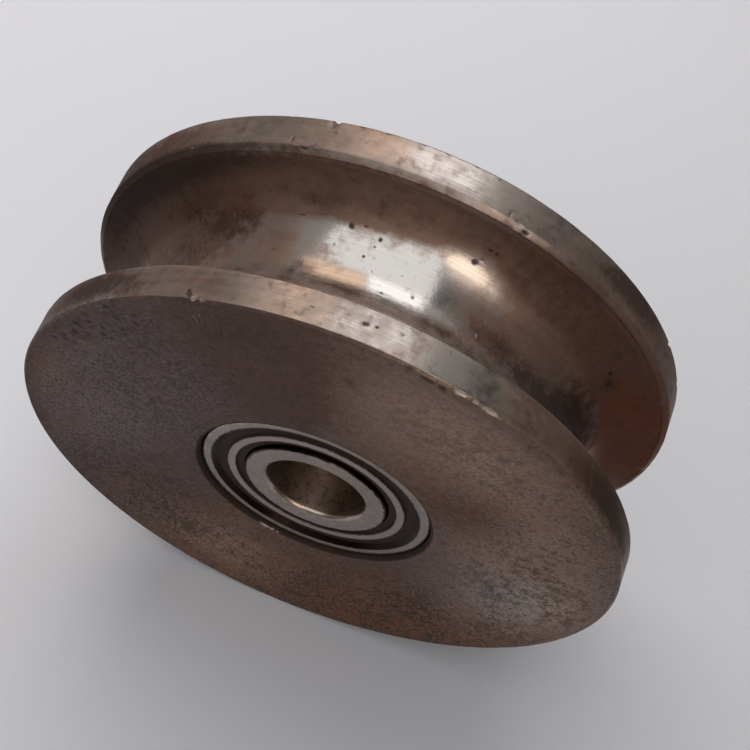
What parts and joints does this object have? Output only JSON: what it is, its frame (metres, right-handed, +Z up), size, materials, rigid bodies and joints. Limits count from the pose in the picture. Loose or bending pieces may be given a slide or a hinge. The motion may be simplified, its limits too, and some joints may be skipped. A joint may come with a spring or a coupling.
{
  "type": "sliding gate wheel",
  "caption": "Turned steel sliding gate wheel with a half-round rail groove between flat rims, running on shielded ball bearings pressed into its faces.",
  "frame": {"origin": "centre of the wheel, on the axle's axis at half its width", "axes": "+Y along the axle, away from the front face; +Z up from the rail to the axle"},
  "size_m": [0.12, 0.0416, 0.12],
  "materials": {
    "wheel_steel": "turned carbon steel, oiled, with a brown rust patina",
    "ring_steel": "ground bearing steel, lightly stained",
    "shield_steel": "pressed sheet steel, greasy",
    "cage_steel": "pressed sheet steel, greased",
    "rivet_steel": "plain steel, greased",
    "ball_steel": "polished bearing steel",
    "sleeve_steel": "turned steel, greased"
  },
  "bodies": {
    "hub": {"front_inner_ring": "ring_steel", "rear_inner_ring": "ring_steel", "spacer_sleeve": "sleeve_steel"},
    "wheel": {"wheel_body": "wheel_steel", "front_outer_ring": "ring_steel", "front_outer_shield": "shield_steel", "front_inner_shield": "shield_steel", "rear_outer_ring": "ring_steel", "rear_outer_shield": "shield_steel", "rear_inner_shield": "shield_steel"},
    "front_cage": {"front_cage_outer_half": "cage_steel", "front_cage_inner_half": "cage_steel", "front_cage_rivets": "rivet_steel"},
    "front_rolling_ball_1": {"front_ball_1": "ball_steel"},
    "front_rolling_ball_2": {"front_ball_2": "ball_steel"},
    "front_rolling_ball_3": {"front_ball_3": "ball_steel"},
    "front_rolling_ball_4": {"front_ball_4": "ball_steel"},
    "front_rolling_ball_5": {"front_ball_5": "ball_steel"},
    "front_rolling_ball_6": {"front_ball_6": "ball_steel"},
    "front_rolling_ball_7": {"front_ball_7": "ball_steel"},
    "front_rolling_ball_8": {"front_ball_8": "ball_steel"},
    "rear_cage": {"rear_cage_outer_half": "cage_steel", "rear_cage_inner_half": "cage_steel", "rear_cage_rivets": "rivet_steel"},
    "rear_rolling_ball_1": {"rear_ball_1": "ball_steel"},
    "rear_rolling_ball_2": {"rear_ball_2": "ball_steel"},
    "rear_rolling_ball_3": {"rear_ball_3": "ball_steel"},
    "rear_rolling_ball_4": {"rear_ball_4": "ball_steel"},
    "rear_rolling_ball_5": {"rear_ball_5": "ball_steel"},
    "rear_rolling_ball_6": {"rear_ball_6": "ball_steel"},
    "rear_rolling_ball_7": {"rear_ball_7": "ball_steel"},
    "rear_rolling_ball_8": {"rear_ball_8": "ball_steel"}
  },
  "joints": [
    {"name": "wheel_spin", "type": "hinge", "parent": "hub", "child": "wheel", "pos_m": [0, 0, 0], "axis": [0, 1, 0], "continuous": true},
    {"name": "front_cage_spin", "type": "hinge", "parent": "hub", "child": "front_cage", "pos_m": [0, -0.013, 0], "axis": [0, 1, 0], "continuous": true},
    {"name": "rear_cage_spin", "type": "hinge", "parent": "hub", "child": "rear_cage", "pos_m": [0, 0.013, 0], "axis": [0, 1, 0], "continuous": true},
    {"name": "front_ball_1_roll", "type": "hinge", "parent": "front_cage", "child": "front_rolling_ball_1", "pos_m": [0.01675, -0.013, 0], "axis": [0, 1, 0], "continuous": true},
    {"name": "front_ball_2_roll", "type": "hinge", "parent": "front_cage", "child": "front_rolling_ball_2", "pos_m": [0.01184, -0.013, 0.01184], "axis": [0, 1, 0], "continuous": true},
    {"name": "front_ball_3_roll", "type": "hinge", "parent": "front_cage", "child": "front_rolling_ball_3", "pos_m": [0, -0.013, 0.01675], "axis": [0, 1, 0], "continuous": true},
    {"name": "front_ball_4_roll", "type": "hinge", "parent": "front_cage", "child": "front_rolling_ball_4", "pos_m": [-0.01184, -0.013, 0.01184], "axis": [0, 1, 0], "continuous": true},
    {"name": "front_ball_5_roll", "type": "hinge", "parent": "front_cage", "child": "front_rolling_ball_5", "pos_m": [-0.01675, -0.013, 0], "axis": [0, 1, 0], "continuous": true},
    {"name": "front_ball_6_roll", "type": "hinge", "parent": "front_cage", "child": "front_rolling_ball_6", "pos_m": [-0.01184, -0.013, -0.01184], "axis": [0, 1, 0], "continuous": true},
    {"name": "front_ball_7_roll", "type": "hinge", "parent": "front_cage", "child": "front_rolling_ball_7", "pos_m": [0, -0.013, -0.01675], "axis": [0, 1, 0], "continuous": true},
    {"name": "front_ball_8_roll", "type": "hinge", "parent": "front_cage", "child": "front_rolling_ball_8", "pos_m": [0.01184, -0.013, -0.01184], "axis": [0, 1, 0], "continuous": true},
    {"name": "rear_ball_1_roll", "type": "hinge", "parent": "rear_cage", "child": "rear_rolling_ball_1", "pos_m": [0.01675, 0.013, 0], "axis": [0, 1, 0], "continuous": true},
    {"name": "rear_ball_2_roll", "type": "hinge", "parent": "rear_cage", "child": "rear_rolling_ball_2", "pos_m": [0.01184, 0.013, 0.01184], "axis": [0, 1, 0], "continuous": true},
    {"name": "rear_ball_3_roll", "type": "hinge", "parent": "rear_cage", "child": "rear_rolling_ball_3", "pos_m": [0, 0.013, 0.01675], "axis": [0, 1, 0], "continuous": true},
    {"name": "rear_ball_4_roll", "type": "hinge", "parent": "rear_cage", "child": "rear_rolling_ball_4", "pos_m": [-0.01184, 0.013, 0.01184], "axis": [0, 1, 0], "continuous": true},
    {"name": "rear_ball_5_roll", "type": "hinge", "parent": "rear_cage", "child": "rear_rolling_ball_5", "pos_m": [-0.01675, 0.013, 0], "axis": [0, 1, 0], "continuous": true},
    {"name": "rear_ball_6_roll", "type": "hinge", "parent": "rear_cage", "child": "rear_rolling_ball_6", "pos_m": [-0.01184, 0.013, -0.01184], "axis": [0, 1, 0], "continuous": true},
    {"name": "rear_ball_7_roll", "type": "hinge", "parent": "rear_cage", "child": "rear_rolling_ball_7", "pos_m": [0, 0.013, -0.01675], "axis": [0, 1, 0], "continuous": true},
    {"name": "rear_ball_8_roll", "type": "hinge", "parent": "rear_cage", "child": "rear_rolling_ball_8", "pos_m": [0.01184, 0.013, -0.01184], "axis": [0, 1, 0], "continuous": true}
  ],
  "couplings": [
    {"joint": "front_cage_spin", "follows": "wheel_spin", "ratio": 0.61848},
    {"joint": "rear_cage_spin", "follows": "wheel_spin", "ratio": 0.61848},
    {"joint": "front_ball_1_roll", "follows": "wheel_spin", "ratio": 1.9916},
    {"joint": "front_ball_2_roll", "follows": "wheel_spin", "ratio": 1.9916},
    {"joint": "front_ball_3_roll", "follows": "wheel_spin", "ratio": 1.9916},
    {"joint": "front_ball_4_roll", "follows": "wheel_spin", "ratio": 1.9916},
    {"joint": "front_ball_5_roll", "follows": "wheel_spin", "ratio": 1.9916},
    {"joint": "front_ball_6_roll", "follows": "wheel_spin", "ratio": 1.9916},
    {"joint": "front_ball_7_roll", "follows": "wheel_spin", "ratio": 1.9916},
    {"joint": "front_ball_8_roll", "follows": "wheel_spin", "ratio": 1.9916},
    {"joint": "rear_ball_1_roll", "follows": "wheel_spin", "ratio": 1.9916},
    {"joint": "rear_ball_2_roll", "follows": "wheel_spin", "ratio": 1.9916},
    {"joint": "rear_ball_3_roll", "follows": "wheel_spin", "ratio": 1.9916},
    {"joint": "rear_ball_4_roll", "follows": "wheel_spin", "ratio": 1.9916},
    {"joint": "rear_ball_5_roll", "follows": "wheel_spin", "ratio": 1.9916},
    {"joint": "rear_ball_6_roll", "follows": "wheel_spin", "ratio": 1.9916},
    {"joint": "rear_ball_7_roll", "follows": "wheel_spin", "ratio": 1.9916},
    {"joint": "rear_ball_8_roll", "follows": "wheel_spin", "ratio": 1.9916}
  ]
}
